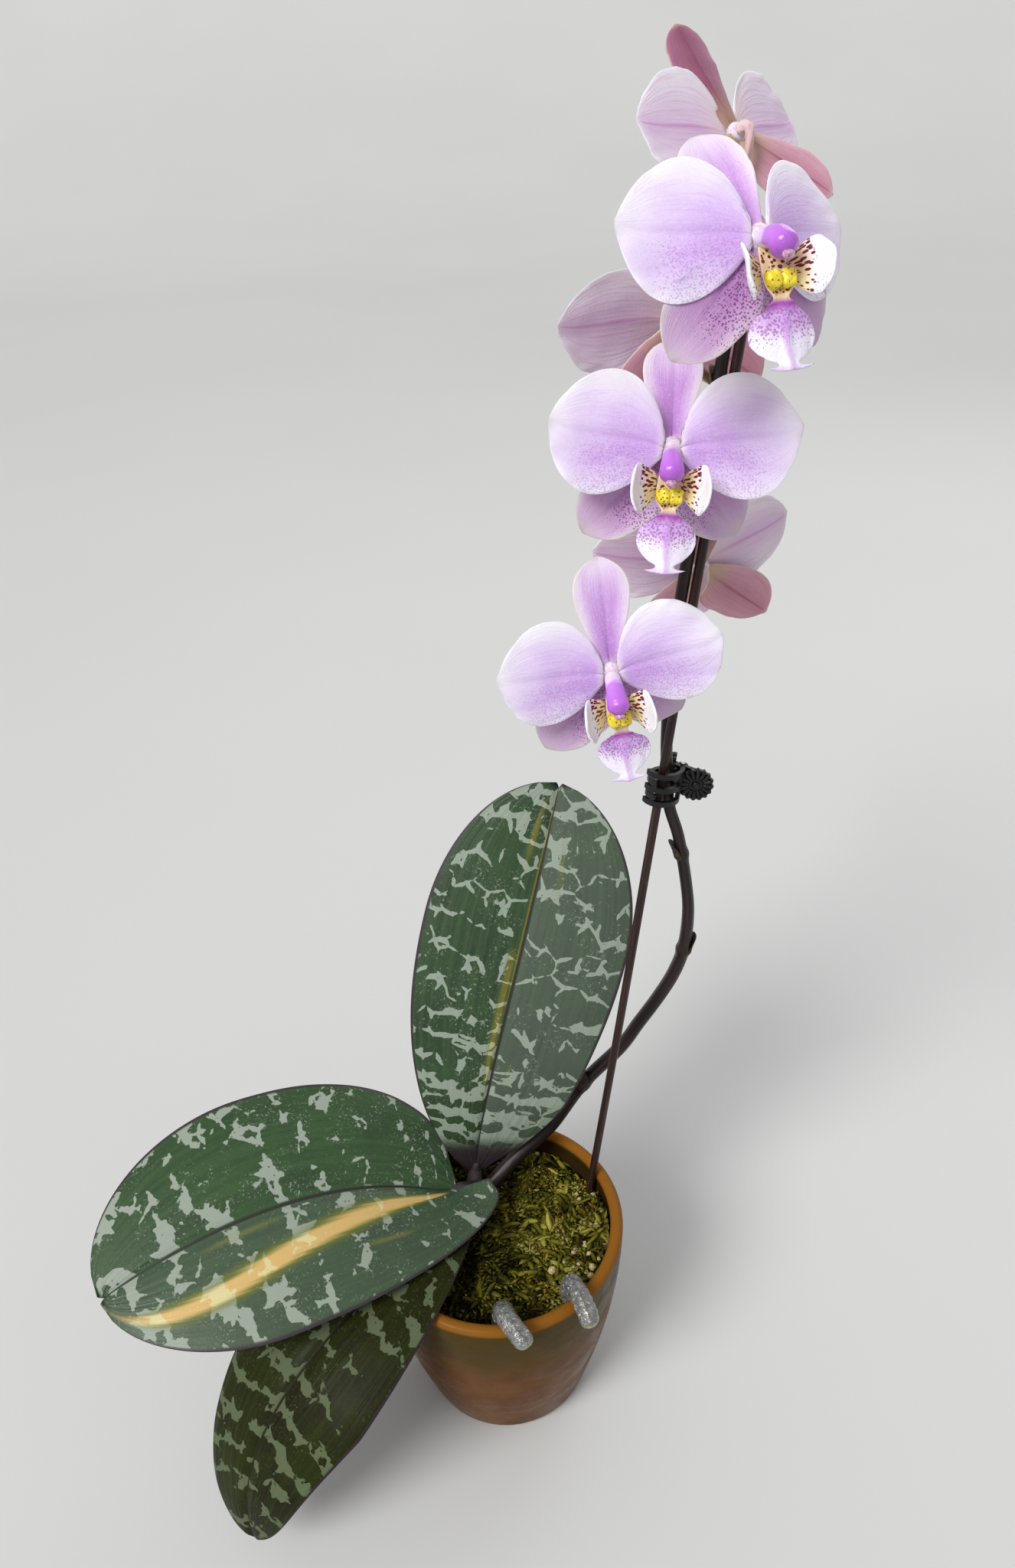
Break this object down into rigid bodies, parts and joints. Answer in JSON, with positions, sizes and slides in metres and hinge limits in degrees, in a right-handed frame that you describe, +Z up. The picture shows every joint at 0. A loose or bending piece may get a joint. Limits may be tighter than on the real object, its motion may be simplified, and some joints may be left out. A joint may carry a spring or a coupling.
{
  "type": "potted moth orchid",
  "caption": "Potted moth orchid with mottled leaves, its flower spike clipped to a stake, in a glazed pot topped with moss.",
  "frame": {"origin": "middle of the pot's flat base, on the surface that it stands on", "axes": "+Z up; -Y is the front of the plant, towards the viewer; +X is to the viewer's right"},
  "size_m": [0.2549, 0.1608, 0.487],
  "materials": {
    "glaze": "glossy amber-brown glaze",
    "potting_mix": "loose bark chips, shown as one solid",
    "moss": "matte yellow-green sheet moss with pale pumice grains",
    "stem": "rough brown-green stem and dry leaf sheaths",
    "leaf": "leathery satin, dark green mottled with silver grey",
    "root": "silvery wrinkled skin with a green tip",
    "spike": "satin, near-black purple brown",
    "stake": "dark red-brown coated wire",
    "clip_plastic": "glossy black",
    "clip_steel": "plain wire",
    "petal": "soft satin lilac with fine veins and pale margins",
    "lip": "waxy, purple and cream with maroon marks",
    "column": "glossy violet",
    "flower_stalk": "satin, pinkish to yellow-green"
  },
  "bodies": {
    "plant": {"pot": "glaze", "potting_mix": "potting_mix", "moss": "moss", "stem_base": "stem", "leaf_tall": "leaf", "leaf_left": "leaf", "leaf_low": "leaf", "root_left": "root", "root_right": "root", "spike": "spike", "stake": "stake", "clip_jaw_back": "clip_plastic", "clip_pin": "clip_steel", "clip_spring": "clip_steel", "bloom_1_petals": "petal", "bloom_1_lip": "lip", "bloom_1_column": "column", "bloom_1_stalk": "flower_stalk", "bloom_2_petals": "petal", "bloom_2_lip": "lip", "bloom_2_column": "column", "bloom_2_stalk": "flower_stalk", "bloom_3_petals": "petal", "bloom_3_lip": "lip", "bloom_3_column": "column", "bloom_3_stalk": "flower_stalk", "bloom_4_petals": "petal", "bloom_4_lip": "lip", "bloom_4_column": "column", "bloom_4_stalk": "flower_stalk", "bloom_5_petals": "petal", "bloom_5_lip": "lip", "bloom_5_column": "column", "bloom_5_stalk": "flower_stalk", "bloom_6_petals": "petal", "bloom_6_lip": "lip", "bloom_6_column": "column", "bloom_6_stalk": "flower_stalk"},
    "clip_front": {"clip_jaw_front": "clip_plastic"}
  },
  "joints": [
    {"name": "clip_hinge", "type": "hinge", "parent": "plant", "child": "clip_front", "pos_m": [0.0717, 0.03085, 0.27524], "axis": [0.1287, 0.0313, 0.9912], "range_deg": [0, 28], "stiffness_Nm_per_rad": 0.02, "springref_deg": -17.19}
  ]
}
